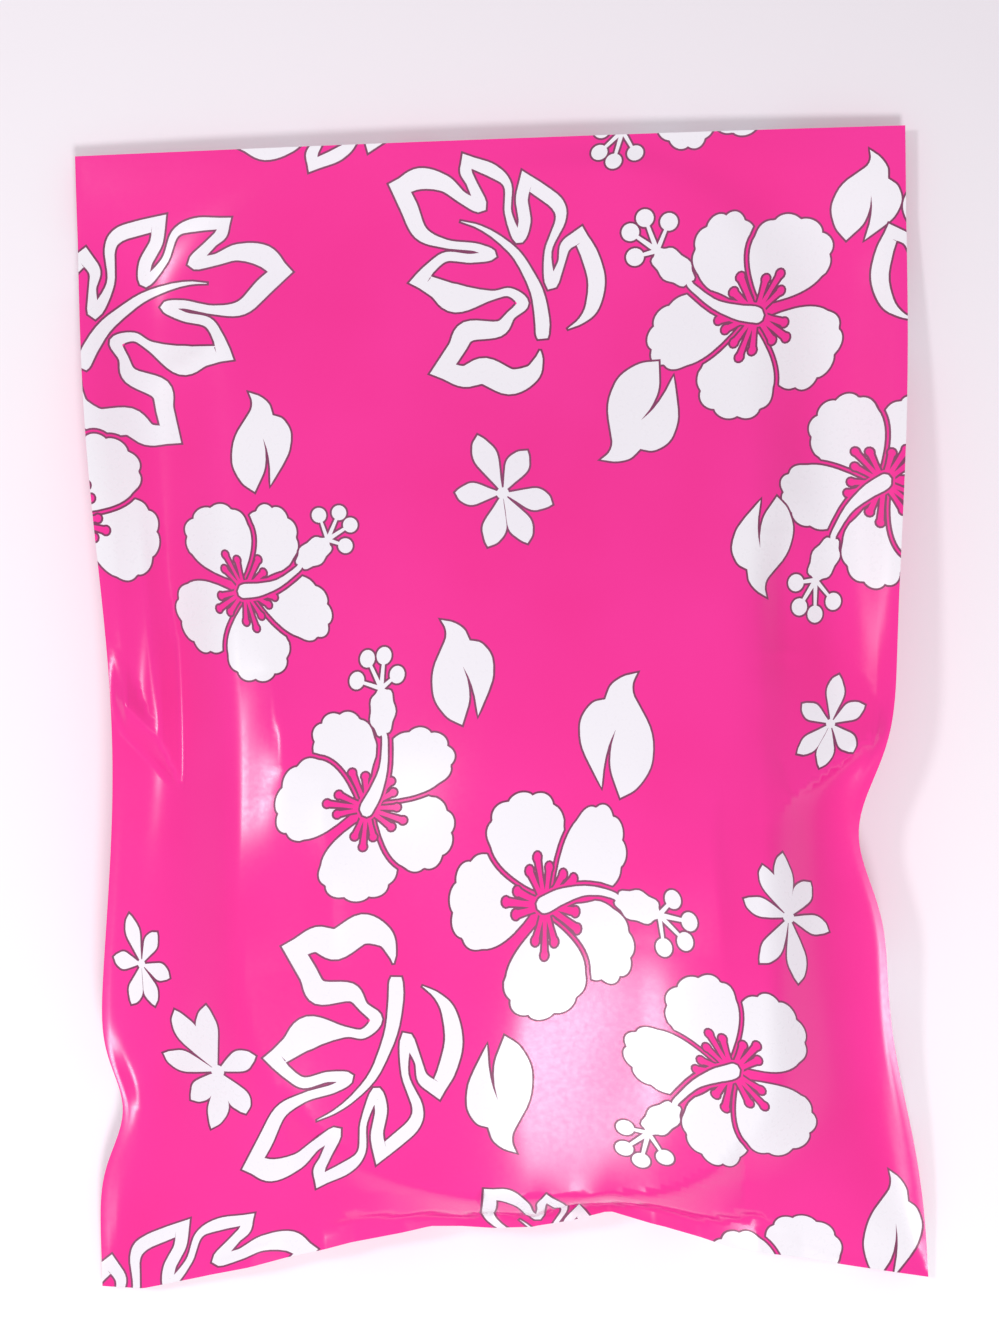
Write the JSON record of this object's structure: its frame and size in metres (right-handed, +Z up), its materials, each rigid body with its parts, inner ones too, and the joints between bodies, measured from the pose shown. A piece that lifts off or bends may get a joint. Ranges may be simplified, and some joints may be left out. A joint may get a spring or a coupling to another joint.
{
  "type": "poly mailer bag",
  "caption": "Sealed glossy film mailer bag, filled out by a boxed item, with a tropical flower print and a flap closed on the back.",
  "frame": {"origin": "centre of the bag's outline, at the level of the surface that its back lies on", "axes": "+X across the bag, +Y along it towards the flap fold, +Z up out of the front panel"},
  "size_m": [0.1904, 0.2644, 0.039],
  "materials": {
    "pink_film": "glossy film with a white flower print"
  },
  "bodies": {
    "root": {"mailer_bag": "pink_film"}
  },
  "joints": []
}
